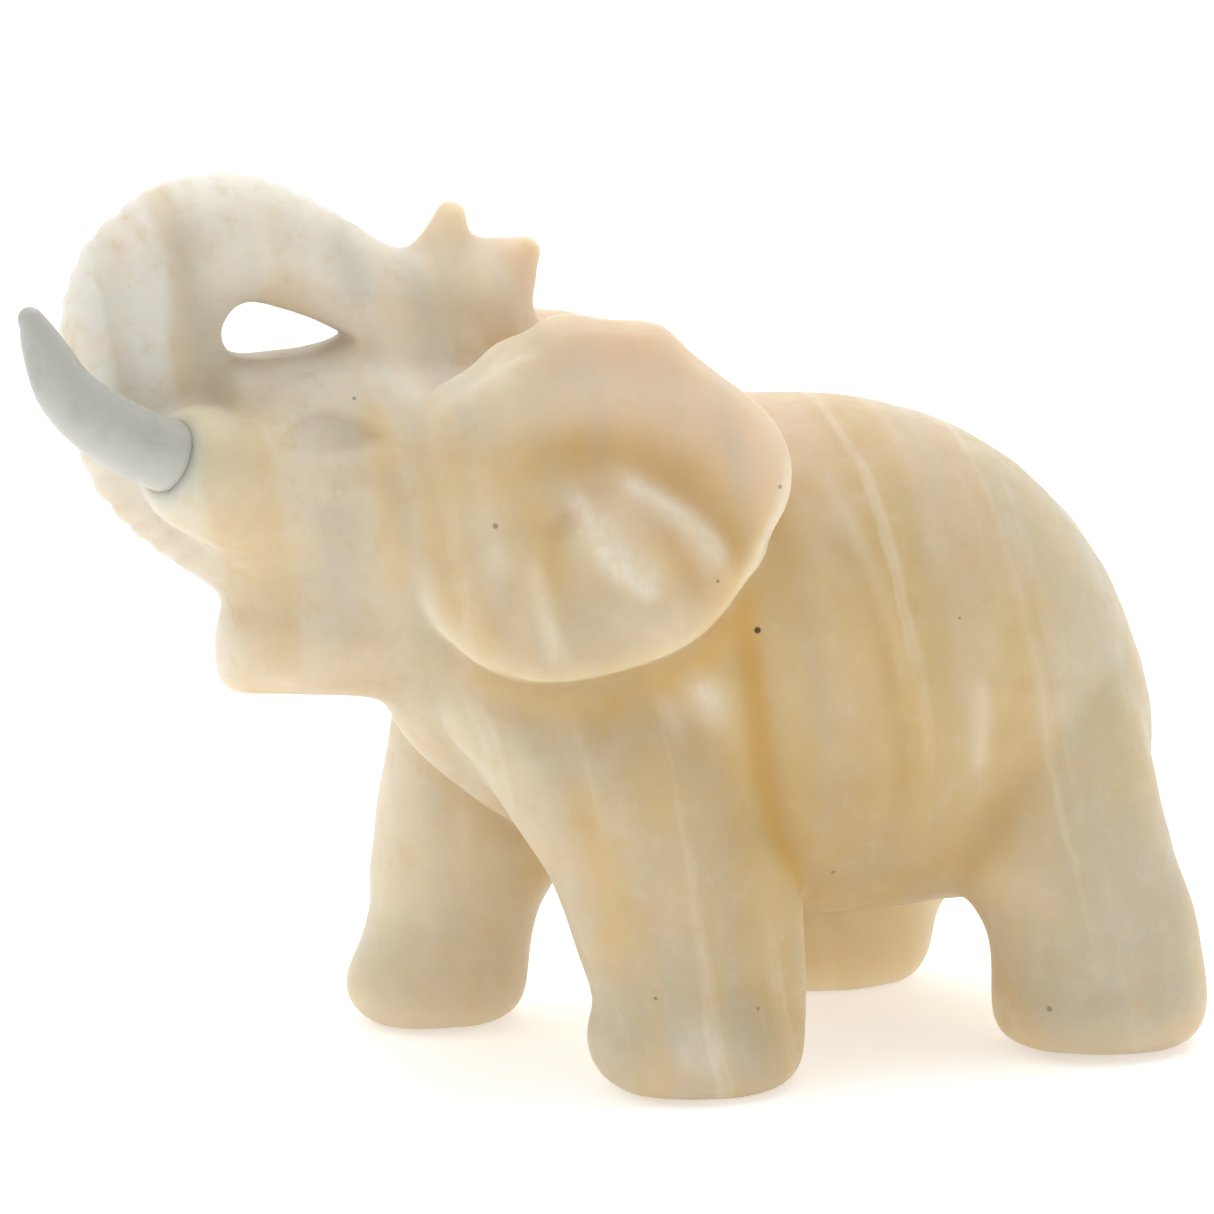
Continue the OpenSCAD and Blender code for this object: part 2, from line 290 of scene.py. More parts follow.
def burr(places, width, depth, sides=(-1, 1), inner=4.0, fade=0.35, drop=0.0):
    """Cuts a soft line into the stone, or leaves a ridge where the depth is below zero."""
    for side in sides:
        shifted = np.asarray(places, float) - [0, drop if side > 0 else 0]
        gap, travelled, length = beside(smooth_route(shifted))
        ends = np.minimum(travelled, length - travelled) / (fade * length)
        strength = np.clip(ends, 0, 1) ** 0.7 if fade else 1.0
        profile = depth * strength * np.exp(-(gap / width) ** 2)
        stone[...] += profile.astype(np.float32)[:, None, :] * outer_side(side, inner)


def inside_outline(places):
    """Distance in from a closed outline for each column (mm), below zero outside it."""
    ring = smooth_route(list(places) + [places[0]])
    gap, _, _ = beside(ring)
    a, u = np.meshgrid(along, up, indexing="ij")
    within = np.zeros(a.shape, bool)
    for (a0, u0), (a1, u1) in zip(ring, np.roll(ring, -1, axis=0)):
        if u0 != u1:
            crosses = (u0 > u) != (u1 > u)
            within ^= crosses & (a < (a1 - a0) * (u - u0) / (u1 - u0) + a0)
    return np.where(within, gap, -gap)


def pad(places, softness, height, sides=(-1, 1), inner=4.0, drop=0.0):
    """Leaves a rounded pad standing inside an outline, or sinks a hollow there."""
    for side in sides:
        shifted = [(a, u - (drop if side > 0 else 0)) for a, u in places]
        rise = np.clip(inside_outline(shifted) / softness, 0, 1)
        rise = rise * rise * (3 - 2 * rise)
        stone[...] -= (height * rise).astype(np.float32)[:, None, :] * outer_side(side, inner)


# %% [markdown]
# The ear carries most of the carving. It is a broad shell: a thick rolled rim over the top,
# a crescent hollow below it, and a lower lobe that swells out again with a few soft flutes
# fanned over it like a cloth. The right ear hangs a little lower, as the design has it. Each
# ear is first filled out to one domed shell, and the lines are then carved into that.

# %% Carve the ears
EAR_DROP = 1.8
EAR_OUT = 15.9
EAR_FRONT_TUCK = 4.0
EAR_TOP = [(34.6, 9.4, 59.9), (38.6, 10.8, 61.4), (45.0, 11.6, 61.1)]
EAR_TOP_RADII = (2.0, 2.3, 2.2)
EAR_TOP_BLEND = 2.0
FACE_OF_EAR = [
    (27.3, 51.2), (27.3, 45.3), (29.5, 40.3), (34.6, 37.7), (40.1, 37.9), (45.7, 39.9),
    (49.6, 43.4), (52.0, 47.2), (53.0, 50.7), (52.3, 54.2), (49.3, 57.6), (45.1, 60.3),
    (41.1, 61.1), (36.7, 60.4), (32.3, 58.7), (29.0, 55.9)]
LOBE = [(38.0, 49.6), (41.5, 51.4), (45.2, 50.2), (48.6, 48.6), (50.8, 46.4), (51.6, 43.2),
        (50.4, 40.0), (46.6, 37.2), (42.4, 35.8), (37.4, 35.0), (33.0, 35.2), (29.0, 36.8),
        (26.0, 40.0), (26.0, 44.0), (28.6, 46.6), (31.6, 48.0), (35.0, 48.2)]
CRESCENT = [(29.6, 50.4), (32.8, 52.2), (36.6, 53.6), (40.6, 53.9), (44.2, 53.0), (47.6, 50.8),
            (50.2, 47.8), (51.6, 44.6)]
RIM_LINE = [(30.2, 57.6), (32.2, 58.5), (36.2, 59.1), (40.3, 59.3), (44.4, 59.0), (47.7, 58.1),
            (50.2, 56.8), (52.4, 54.6), (53.4, 51.4)]
FLUTES_CUT = [
    [(43.0, 50.9), (44.4, 47.6), (46.4, 44.4), (47.6, 41.4)],
    [(39.6, 51.4), (37.6, 49.4), (35.6, 46.2), (34.8, 42.6)],
    [(33.6, 47.4), (32.4, 43.8), (32.0, 40.0)],
]
FLUTES_LEFT = [
    [(37.8, 50.4), (39.3, 46.6), (41.6, 43.8), (43.8, 42.4)],
    [(41.6, 51.6), (44.4, 49.8), (47.4, 47.6), (49.0, 45.0)],
    [(34.2, 45.0), (34.8, 41.6), (35.8, 37.8)],
    [(26.4, 44.6), (27.0, 41.4), (29.0, 38.8)],
]


def ear_top(side, lower):
    """Swells the top of an ear, from the side of the crown to the back of the rim."""
    start, knee, end = [(a, c * side, u - lower) for a, c, u in EAR_TOP]
    lump(start, knee, EAR_TOP_RADII[:2], EAR_TOP_BLEND)
    lump(knee, end, EAR_TOP_RADII[1:], EAR_TOP_BLEND)


def ear_shell(places, sides=(-1, 1)):
    """Fills the ear out to one smooth, slightly domed shell inside an outline."""
    a, u = along[:, None], up[None, :]
    out = EAR_OUT * (1 + 0.005 * (a - 25.0)) * (1 - 0.0011 * np.maximum(u - 48.0, 0) ** 2)
    front = np.clip((34.0 - a) / 9.0, 0, 1)
    out = out - EAR_FRONT_TUCK * front * front * (3 - 2 * front)
    for side in sides:
        lower = EAR_DROP if side > 0 else 0
        inward = inside_outline([(x, z - lower) for x, z in places])[:, None, :]
        depth = across[None, :, None] * side - out[:, None, :]
        filled = np.minimum(stone, np.maximum(depth, -inward - 1.5))
        trim = np.clip((33.0 - along) / 5.0, 0, 1)[:, None, None] * (inward > -5.0)
        trimmed = np.maximum(filled, depth - 0.25)
        filled = filled + trim * (trimmed - filled)
        stone[...] = np.where((across * side > 8.0)[None, :, None], filled, stone)


ear_shell(FACE_OF_EAR)
ear_top(-1, 0)
ear_top(1, EAR_DROP)
burr(CRESCENT, 3.4, 1.6, inner=9.0, drop=EAR_DROP)
pad(LOBE, 2.4, 0.65, inner=9.0, drop=EAR_DROP)
burr(RIM_LINE, 0.6, -0.16, inner=8.0, drop=EAR_DROP)
for line in FLUTES_CUT:
    burr(line, 1.0, 0.34, inner=9.0, drop=EAR_DROP)
for line in FLUTES_LEFT:
    burr(line, 1.1, -0.24, inner=9.0, drop=EAR_DROP)
stone += 0.7 * blob((40, 16, 49), (16, 9, 15)) * (blurred(stone, 0.6) - stone)
stone += blob((26.3, 13, 51.5), (5.5, 7, 10)) * (blurred(stone, 3.2) - stone)
stone += blob((46.5, 7.0, 57.0), (9, 3.8, 8)) * (blurred(stone, 2.4) - stone)
print("ear lines carved:", len(FLUTES_CUT) + len(FLUTES_LEFT) + 2)

# %% [markdown]
# The eye is only hinted at: a shallow almond sunk under a thin arched lid, with a faint fold
# of cheek below it, on both sides of the head. The opening under the trunk goes right through
# the figure, and is cut clear here to its full length, because the steps before shorten it.

# %% Carve the face
EYE = [(15.6, 55.0), (17.4, 56.6), (20.4, 57.2), (23.4, 56.2), (24.8, 54.4), (22.6, 53.0),
       (19.2, 52.6), (16.8, 53.4)]
pad(EYE, 1.3, -0.42)
burr([(15.0, 56.6), (17.6, 58.5), (21.2, 59.4), (24.8, 58.8), (27.4, 56.8)], 0.7, -0.2)
burr([(14.4, 54.0), (17.0, 51.8), (20.4, 50.6), (24.6, 50.2)], 0.9, -0.2)
burr([(15.4, 52.2), (18.6, 49.6), (22.6, 48.6)], 1.4, 0.12)
UNDER_TRUNK = [(12.6, 62.6), (13.6, 64.4), (15.2, 65.0), (18.6, 63.9), (21.4, 62.8), (23.8, 61.6),
               (20.6, 60.6), (15.2, 60.1), (13.2, 60.9)]
opened = np.minimum(inside_outline(UNDER_TRUNK)[:, None, :], 9.0 - np.abs(across)[None, :, None])
stone = np.maximum(stone, opened.astype(np.float32))
stone += blob((18, 0, 62.4), (9, 9, 5)) * (blurred(stone, 0.7) - stone)
opening = [a for a, _ in UNDER_TRUNK]
print("face carved, opening under the trunk", round(max(opening) - min(opening), 1), "mm long")

# %% [markdown]
# Body lines: the hollow behind the shoulder, the crease round the thigh, soft folds on the
# flank, and a faint line where the foot begins. The flank folds lean with the ribs. The left
# front foot gets a lump of its own, because it spreads forward on the table.

# %% Carve the body
burr([(51.6, 44.0), (52.2, 39.0), (53.0, 33.0), (54.4, 25.0), (58.0, 16.0)], 1.6, 0.75, fade=0.3)
burr([(33.0, 35.0), (36.0, 30.0), (38.6, 24.0), (40.6, 17.0)], 1.6, 0.25)
burr([(78.6, 42.0), (77.0, 36.0), (75.6, 30.0), (74.8, 23.0), (72.0, 16.0)], 2.6, 0.34)
burr([(71.9, 33.4), (72.3, 29.6), (72.5, 25.4)], 0.8, -0.14)
burr([(60.1, 46.4), (62.8, 40.0), (64.6, 32.0), (65.9, 25.0), (65.6, 17.6)], 1.3, 0.35)
burr([(56.6, 50.0), (58.6, 43.0), (59.8, 35.0), (60.4, 27.0)], 1.6, -0.22)
burr([(82.0, 33.0), (84.4, 28.0), (87.6, 25.0)], 2.6, 0.15)
burr([(40.2, 11.0), (43.2, 9.9), (48.4, 9.2), (53.6, 9.4), (56.8, 10.6)], 1.3, 0.1)
burr([(75.4, 6.9), (79.6, 6.5), (85.0, 6.4), (90.6, 6.8)], 1.3, 0.1)
burr([(24.6, 11.4), (28.0, 10.2), (33.0, 9.8), (37.4, 10.4)], 1.3, 0.1, sides=(1,))
burr([(41.0, 24.0), (45.0, 23.6), (49.6, 23.8)], 0.8, 0.06)
lump((43.6, -10.4, 4.4), (44.8, -13.4, 3.8), (2.6, 2.6), 1.8)
print("body lines carved")

# %% [markdown]
# The back of the trunk keeps the marks of the file that rounded it: small scallops a couple of
# millimetres apart. They are laid out by travel along the outer edge of the trunk, so each one
# crosses it square, and they fade away towards the sides.

# %% File marks on the trunk
TRUNK_BACK = [(12.9, 42.2), (9.0, 43.8), (5.8, 46.0), (3.4, 48.8), (1.6, 52.2), (0.3, 57.4),
              (0.0, 62.9), (0.9, 66.8), (2.9, 69.9), (5.4, 72.6), (8.2, 74.3), (11.4, 75.1),
              (14.5, 75.1), (18.2, 73.8), (21.7, 72.2), (25.8, 69.2)]
FILE_PITCH = 2.3
FILE_DEPTH = 0.32
gap, travelled, length = beside(smooth_route(TRUNK_BACK))
wobble = travelled + 0.35 * np.sin(travelled / 3.1) + 0.25 * np.sin(travelled / 1.7 + 1.0)
scallop = 1 - np.abs(np.sin(np.pi * wobble / FILE_PITCH))
near_edge = np.exp(-(gap / 2.2) ** 2)
fade = np.clip(np.minimum(travelled, length - travelled) / 5.0, 0, 1)
stone += (FILE_DEPTH * scallop * near_edge * fade).astype(np.float32)[:, None, :]
print("file marks:", int(length / FILE_PITCH), "over", round(length, 1), "mm")

# %% [markdown]
# Nothing ground by hand is even. A slow, seeded unevenness of about a tenth of a millimetre
# makes the satin light wander over the back and the legs.

# %% Unevenness of hand grinding
dice = np.random.default_rng(71)
UNEVENNESS = ((2.6, 0.12), (1.1, 0.035))
for spread, height in UNEVENNESS:
    rough = blurred(dice.standard_normal(stone.shape, dtype=np.float32), spread)
    stone += rough * np.float32(height / rough.std())
print("unevenness, spread and height in mm:", UNEVENNESS)

# %% [markdown]
# The tail is carved in low relief down the middle of the rump. It is a ridge that runs to the
# hocks, narrows on the way and ends in a small tuft.

# %% Raise the tail
TAIL_HEIGHT = 0.6
TAIL = [(86.4, 49.0), (91.0, 43.0), (94.2, 34.0), (95.2, 25.0), (95.0, 19.0)]
gap, travelled, length = beside(smooth_route(TAIL))
tail_width = 1.5 - 0.5 * travelled / length + 0.5 * (travelled > 0.86 * length)
lift = np.clip(np.minimum(travelled, length - travelled) / 4.0, 0, 1)
strand = np.exp(-(across[None, :, None] / tail_width[:, None, :]) ** 2)
close = np.exp(-(gap / 5.0) ** 2) * lift
stone -= (TAIL_HEIGHT * strand * close[:, None, :]).astype(np.float32)
print("tail raised", TAIL_HEIGHT, "mm over", round(length, 1), "mm")

# %% [markdown]
# The holes for the tusks must stay as wide as they were drilled, or the pins would not enter.
# The glue skin in each hole gives its middle and its direction: the longest direction of its
# corner points is the line of the pin. Round that line the block keeps the designed distances
# wherever those leave more room. The cheek is built up behind each hole, and a bead of stone is
# raised round the tusk. It laps the root by about a third of a millimetre, out of sight, so
# that no dark gap shows between the two.

# %% Keep the drilled holes


def pin_line(side_name):
    """The hole's line: middle of the glue skin, outward direction, half length and radius."""
    glue, _ = mesh_arrays(side_name + "_tusk_glue")
    glue = on_ruler(glue)
    middle = glue.mean(axis=0)
    direction = np.linalg.svd(glue - middle)[2][0]
    tusk_low, tusk_high = (on_ruler(corner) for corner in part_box(side_name + "_tusk"))
    direction *= np.sign(direction @ ((tusk_low + tusk_high) / 2 - middle))
    reach = (glue - middle) @ direction
    round_it = np.linalg.norm(glue - middle - reach[:, None] * direction, axis=1)
    return {"middle": middle, "direction": direction, "inner": reach.min(),
            "outer": reach.max(), "radius": round_it.max()}


SHOULDER = 2.86
ROOT_RADII = (5.0, 3.9)
ROOT_BLEND = 3.4
SEAT_EDGE = 0.3
SEAT_DEPTH = 1.6
BEAD_INSET = 0.1
BEAD_LIFT = 0.8
BEAD_RADIUS = 1.0
BEAD_BLEND = 0.9
STONE_LAP = 0.35
BORE_EDGE = 0.25

holes = {side_name: pin_line(side_name) for side_name in ("left", "right")}
for hole in holes.values():
    hole["seat"] = hole["middle"] + hole["direction"] * hole["outer"]
    lump(hole["seat"] - 8.0 * hole["direction"], hole["seat"] - 1.6 * hole["direction"],
         ROOT_RADII, ROOT_BLEND)
cells = np.stack(np.meshgrid(along, across, up, indexing="ij"), -1).astype(np.float32)
for side_name, hole in holes.items():
    offset = cells - hole["middle"].astype(np.float32)
    reach = offset @ hole["direction"].astype(np.float32)
    round_it = np.sqrt(np.maximum((offset ** 2).sum(axis=-1) - reach ** 2, 0))
    seat = (round_it < SHOULDER + SEAT_EDGE) & (np.abs(reach - hole["outer"]) < SEAT_DEPTH)
    stone[seat] = designed[seat]
    bead = np.hypot(round_it - SHOULDER + BEAD_INSET, reach - hole["outer"] - BEAD_LIFT)
    bead = bead - BEAD_RADIUS
    softly = np.clip(0.5 + 0.5 * (stone - bead) / BEAD_BLEND, 0, 1)
    stone = stone + (bead - stone) * softly - BEAD_BLEND * softly * (1 - softly)
    bore = (round_it < hole["radius"] + BORE_EDGE) & (reach > hole["inner"] - 1)
    keep = bore & (reach < hole["outer"] + 2)
    stone[keep] = np.maximum(stone[keep], designed[keep])
    clear = np.maximum(stone, SHOULDER - STONE_LAP - round_it)
    stone = np.where(reach > hole["outer"], clear, stone)
    print(side_name, "hole: radius", round(float(hole["radius"]), 2), "mm, cells kept:", int(keep.sum()))

# The soles stay flat on the table
stone = np.maximum(stone, -(up[None, None, :] + np.zeros_like(stone)))

# %% [markdown]
# The block goes back to a mesh of small four-sided faces, one cell wide, which is fine enough
# for the light to run smoothly and coarse enough for any program to open. How hollow or how
# sharp the surface is at each corner point is read from blurred copies of the block and stored
# with the mesh, because painted shade in the hollows and painted light on sharp and thin parts
# are laid into the stone's colour from it.

# %% Mesh the carved stone
carved_grid = vdb.FloatGrid(CELL * REACH)
carved_grid.transform = cell_grid
carved_grid.copyFromArray(stone, ijk=tuple(int(i) for i in first_cell))
places, quads = carved_grid.convertToQuads(isovalue=0.0)
places = np.asarray(places, float)
quads = np.asarray(quads, int)


def read_block(block, at):
    """The block's value at places on the ruler, mixed from the eight cells round each."""
    spot = (at - first_cell * CELL) / CELL
    cell = np.clip(np.floor(spot).astype(int), 0, np.array(block.shape) - 2)
    part = np.clip(spot - cell, 0, 1)
    value = np.zeros(len(at))
    for corner in range(8):
        pick = np.array([(corner >> axis) & 1 for axis in range(3)])
        weight = np.prod(np.where(pick, part, 1 - part), axis=1)
        index = cell + pick
        value += weight * block[index[:, 0], index[:, 1], index[:, 2]]
    return value


def signed_volume(corner_places, faces):
    """Six times the volume, below zero when the faces point inwards."""
    p = corner_places[faces]
    first = np.einsum("ij,ij->", p[:, 0], np.cross(p[:, 1], p[:, 2]))
    return first + np.einsum("ij,ij->", p[:, 0], np.cross(p[:, 2], p[:, 3]))


if signed_volume(places, quads) < 0:
    quads = quads[:, ::-1]
fine_form = read_block(blurred(stone, 0.9), places)
broad_form = read_block(blurred(stone, 2.4), places)
_, outward, upward = np.gradient(blurred(stone, 0.9), CELL)
# Faces turned down, darkened below as painted shade
facing_down = np.clip(-read_block(upward, places), 0, 1)
# Inward faces of the low legs, most at the back, made paler below as painted light
facing_in = np.clip(-read_block(outward, places) * np.sign(places[:, 1]), 0, 1)
facing_in *= np.clip((24.0 - places[:, 2]) / 6.0, 0, 1) * np.clip((places[:, 0] - 50) / 6, 0.3, 1)
print("stone mesh:", len(places), "points,", 2 * len(quads), "triangles")
print("fine form range (mm):", fine_form.min().round(2), fine_form.max().round(2))
print("broad form range (mm):", broad_form.min().round(2), broad_form.max().round(2))


# %% [markdown]
# Colour in stone follows where it is stained and how its layers lie, not only its shape. So the
# ochre, partly stains and partly painted shade along the carved grooves, the chalky streaks,
# partly white veins and partly painted light on ridges and in shaded places on the head, and the
# grey sheets that cross the trunk are laid on with a soft brush: lines on the side of the figure,
# each with a width and a strength, stored as measures at the points of the mesh like the hollows.

# %% Brush in the stains, streaks, painted shade and painted light
# Ochre lines: partly stains, partly painted shade along the carved grooves
OCHRE_STAINS_AND_GROOVE_SHADE = [
    ([(51.6, 44.0), (52.2, 39.0), (53.0, 33.0), (54.4, 25.0), (57.0, 17.0)], 1.2, 1.0),
    ([(51.0, 44.0), (52.0, 38.0), (53.6, 32.0), (56.0, 24.0), (60.0, 17.0)], 4.6, 0.4),
    ([(57.0, 15.6), (62.0, 13.4), (69.0, 13.6)], 2.6, 0.6),
    (CRESCENT, 2.8, 0.5),
    ([(33.6, 50.6), (35.4, 47.0), (35.0, 43.0)], 2.6, 0.5),
    ([(28.6, 54.0), (27.6, 49.0), (28.2, 43.0), (31.0, 38.6)], 2.4, 0.45),
    ([(44.0, 34.6), (48.6, 36.6), (51.8, 41.0)], 2.2, 0.75),
    ([(62.0, 42.0), (64.0, 32.0), (64.6, 22.0)], 3.6, 0.4),
    ([(77.0, 40.0), (75.6, 31.0), (74.4, 22.0), (70.8, 15.6)], 3.4, 0.42),
    ([(37.6, 27.0), (40.6, 18.0), (41.0, 12.0)], 1.6, 0.45),
    ([(23.6, 57.0), (24.4, 50.0), (25.0, 43.0)], 1.4, 0.5),
    ([(43.6, 46.6), (46.6, 43.6)], 1.8, 0.45),
    ([(30.0, 36.0), (35.0, 33.6), (42.0, 33.0)], 1.8, 0.45),
    ([(44.0, 30.0), (44.6, 24.0)], 2.6, 0.35),
    ([(85.0, 30.0), (88.0, 22.0)], 3.0, 0.3),
]
# Chalk lines: partly white veins, partly painted highlight on ridges and painted light in shaded places
# on the head
CHALK_AND_PAINTED_LIGHT = [(line, 0.9, 0.85) for line in FLUTES_LEFT[:2]] + [
    (FLUTES_LEFT[2], 0.6, 0.6),
    (FLUTES_LEFT[3], 0.8, 0.3),
    ([(30.6, 52.6), (31.0, 48.6), (31.6, 45.0)], 0.7, 0.35),
    ([(38.6, 48.4), (40.6, 45.6), (43.4, 43.4)], 1.7, 0.8),
    ([(40.6, 41.6), (43.6, 39.4), (46.6, 40.6)], 2.2, 0.4),
    ([(55.2, 52.6), (54.2, 48.2), (52.0, 44.4), (50.4, 41.0)], 0.8, 0.7),
    ([(47.8, 34.8), (49.8, 32.0)], 1.3, 0.7),
    ([(45.4, 33.4), (46.4, 30.6)], 0.7, 0.4),
    ([(45.8, 5.6), (49.4, 4.6)], 2.2, 0.6),
    ([(60.4, 50.0), (63.4, 42.0), (65.4, 34.0)], 0.6, 0.25),
    ([(72.0, 33.4), (72.4, 26.0)], 0.8, 0.35),
    ([(15.4, 72.0), (16.4, 66.6)], 0.6, 0.5),
    ([(24.6, 59.6), (29.0, 59.4), (33.6, 60.8)], 3.2, 0.6),
    (RIM_LINE, 2.8, 0.35),
    ([(31.6, 67.6), (36.4, 65.4)], 3.2, 0.4),
    ([(13.2, 38.8), (13.8, 34.6), (18.0, 33.2)], 2.0, 0.5),
]
GREY = [
    ([(9.2, 71.6), (10.4, 64.0), (11.8, 56.6)], 1.5, 0.85),
    ([(22.2, 70.6), (23.4, 64.6)], 1.3, 0.7),
    ([(27.8, 68.4), (29.2, 61.6), (30.0, 56.0)], 1.0, 0.6),
    ([(34.6, 68.6), (36.0, 61.6)], 0.8, 0.4),
    ([(4.6, 60.0), (6.0, 52.0)], 1.4, 0.4),
    ([(19.6, 50.0), (20.6, 44.0), (21.4, 37.6)], 2.4, 0.55),
    ([(24.4, 52.0), (26.0, 44.0), (27.0, 38.4)], 0.9, 0.5),
    ([(39.6, 58.6), (40.2, 52.6)], 0.8, 0.45),
    ([(38.4, 62.6), (39.4, 58.0)], 1.6, 0.3),
    ([(31.2, 22.0), (32.6, 14.0), (33.4, 8.0)], 1.1, 0.5),
    ([(17.6, 55.4), (22.6, 55.0)], 1.9, 0.55),
    ([(15.2, 57.0), (17.6, 58.6), (21.2, 59.5), (24.8, 58.9), (27.2, 57.0)], 0.35, 0.35),
]


def brushed(strokes):
    """The strongest of the strokes at each point of the mesh, on the side it lies on."""
    laid = np.zeros((len(along), len(up)))
    for line, brush, strength in strokes:
        gap, travelled, length = beside(smooth_route(line))
        ends = np.clip(np.minimum(travelled, length - travelled) / (0.4 * brush) + 0.5, 0, 1)
        laid = np.maximum(laid, strength * ends * np.exp(-(gap / brush) ** 2))
    lower = np.where(places[:, 1] > 0, EAR_DROP * np.clip((places[:, 2] - 30) / 8, 0, 1), 0)
    at = np.stack([places[:, 0], places[:, 2] + lower], 1)
    outer = np.clip((np.abs(places[:, 1]) - 2.0) / 2.0, 0, 1)
    outer = np.where(places[:, 2] > 60, 1.0, outer)
    spot = (at - first_cell[[0, 2]] * CELL) / CELL
    cell = np.clip(spot.astype(int), 0, [len(along) - 2, len(up) - 2])
    part = spot - cell
    value = 0
    for i in (0, 1):
        for j in (0, 1):
            weight = np.abs(1 - i - part[:, 0]) * np.abs(1 - j - part[:, 1])
            value = value + weight * laid[cell[:, 0] + i, cell[:, 1] + j]
    return value * outer


DUST_REACH = 5.6
DUST_FADE = 3.0
near_tusk = np.zeros(len(places))
for hole in holes.values():
    gap_to_seat = np.linalg.norm(places - hole["seat"], axis=1)
    near_tusk = np.maximum(near_tusk, np.clip((DUST_REACH - gap_to_seat) / DUST_FADE, 0, 1))


def new_piece(name, corner_places, faces, measures=None):
    """A mesh object from arrays, with named measures stored at its points."""
    mesh = bpy.data.meshes.new(name)
    mesh.from_pydata(corner_places.tolist(), [], faces.tolist())
    for label, values in (measures or {}).items():
        layer = mesh.attributes.new(label, "FLOAT", "POINT")
        layer.data.foreach_set("value", np.asarray(values, np.float32))
    mesh.shade_smooth()
    mesh.update()
    piece = bpy.data.objects.new(name, mesh)
    bpy.context.scene.collection.objects.link(piece)
    return piece


# Less painted shade is laid in the hollows and creases of the face and trunk than of the body
off_face = np.clip((places[:, 0] - 26.0) / 6.0, 0.25, 1)
stone_piece = new_piece("carved_stone", in_metres(places), quads, {
    # Painted shade in hollows, creases and under downward faces; painted light on ridges, thin parts and
    # inward faces of the low legs
    "painted_shade_in_hollows": off_face * np.clip(-read_block(blurred(stone, 3.2), places) / 1.1, 0, 1),
    "painted_shade_in_creases": off_face * np.clip(-fine_form / 0.14, 0, 1),
    "painted_highlight_on_ridges": np.clip(fine_form / 0.22, 0, 1),
    "thin": np.clip(broad_form / 1.6, 0, 1),
    "near_tusk": near_tusk,
    "under": facing_down * (1 - facing_in),
    # Painted light on the inward faces of the low legs
    "inner": facing_in,
    "ochre_stains_and_groove_shade": brushed(OCHRE_STAINS_AND_GROOVE_SHADE),
    "chalk_and_painted_light": brushed(CHALK_AND_PAINTED_LIGHT),
    "grey": brushed(GREY),
})
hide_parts("carved_body")
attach(stone_piece, "root")

# %% [markdown]
# Materials are built from a few nodes each. One small function adds a node, sets its inputs
# and links it, and another turns the hex colour of a paint chart into the linear numbers that
# the renderer works in.

# %% Helpers for materials


def colour(hex_code):
    """A colour chart's hex code as linear red, green, blue and full cover."""
    parts = [int(hex_code[i:i + 2], 16) / 255 for i in (1, 3, 5)]
    linear = [p / 12.92 if p <= 0.04045 else ((p + 0.055) / 1.055) ** 2.4 for p in parts]
    return (*linear, 1.0)


def add_node(tree, kind, inputs=None, stops=None, **settings):
    """Adds a node; inputs are values, or outputs of other nodes to link from."""
    node = tree.nodes.new(kind)
    for name, value in settings.items():
        setattr(node, name, value)
    for name, value in (inputs or {}).items():
        if isinstance(value, bpy.types.NodeSocket):
            tree.links.new(value, node.inputs[name])
        else:
            node.inputs[name].default_value = value
    if stops:
        ramp = node.color_ramp
        while len(ramp.elements) < len(stops):
            ramp.elements.new(0.5)
        for element, (position, shade) in zip(ramp.elements, stops):
            element.position = position
            element.color = shade if isinstance(shade, tuple) else colour(shade)
    return node


def set_sockets(shader, values):
    """Sets the shader's own sockets to what is the same all over the surface."""
    for name, value in values.items():
        shader.inputs[name].default_value = value


def new_material(name):
    """An empty material with its node tree and its shader."""
    material = bpy.data.materials.new(name)
    material.use_nodes = True
    tree = material.node_tree
    shader = tree.nodes["Principled BSDF"]
    return material, tree, shader


# %% [markdown]
# Banded onyx is a calcite stone laid down in layers, so its bands are nearly flat sheets. In
# this block they stand across the body, a little tilted. It lets light a few millimetres in,
# which softens every shadow, and a satin hand polish leaves a broad dull gloss. Its colour
# runs from a cool grey white at the trunk to a warm cream at the rump. Painted shade makes
# hollows, creases and downward faces ochre and darker, and painted light makes thin parts,
# ridges and the inward faces of the low legs paler. The bands are noise squeezed along one
# direction of the object, and the ochre and the white follow the measures stored with the mesh.

# %% Banded onyx, ground and satin polished
PITS = [((53.1, 38.4), 0.34), ((53.8, 50.4), 0.22), ((22.3, 57.7), 0.2), ((31.5, 48.2), 0.28),
        ((44.1, 9.5), 0.2), ((52.7, 7.9), 0.2), ((78.8, 5.2), 0.3), ((70.4, 38.6), 0.16),
        ((61.3, 17.0), 0.24), ((48.7, 43.6), 0.18)]
onyx, tree, shader = new_material("banded onyx, satin polished")
MM = 1000.0
place = add_node(tree, "ShaderNodeTexCoord").outputs["Object"]
lean = add_node(tree, "ShaderNodeMapping", {
    "Vector": place, "Rotation": (0.0, 0.17, 0.04), "Scale": (MM, MM, MM)}).outputs[0]

# Slow wander, so that no sheet is perfectly flat
wander = add_node(tree, "ShaderNodeTexNoise", {
    "Vector": lean, "Scale": 0.05, "Detail": 3.0, "Roughness": 0.5}).outputs["Color"]
wander = add_node(tree, "ShaderNodeVectorMath", {
    0: wander, 1: (0.5, 0.5, 0.5)}, operation="SUBTRACT").outputs[0]
wander = add_node(tree, "ShaderNodeVectorMath", {
    0: wander, 1: (5.0, 8.0, 8.0)}, operation="MULTIPLY").outputs[0]
sheets = add_node(tree, "ShaderNodeVectorMath", {0: lean, 1: wander}, operation="ADD").outputs[0]
broad_at = add_node(tree, "ShaderNodeMapping", {
    "Vector": sheets, "Scale": (0.115, 0.011, 0.013)}).outputs[0]
broad_sheets = add_node(tree, "ShaderNodeTexNoise", {
    "Vector": broad_at, "Scale": 1.0, "Detail": 2.0, "Roughness": 0.45}).outputs["Fac"]
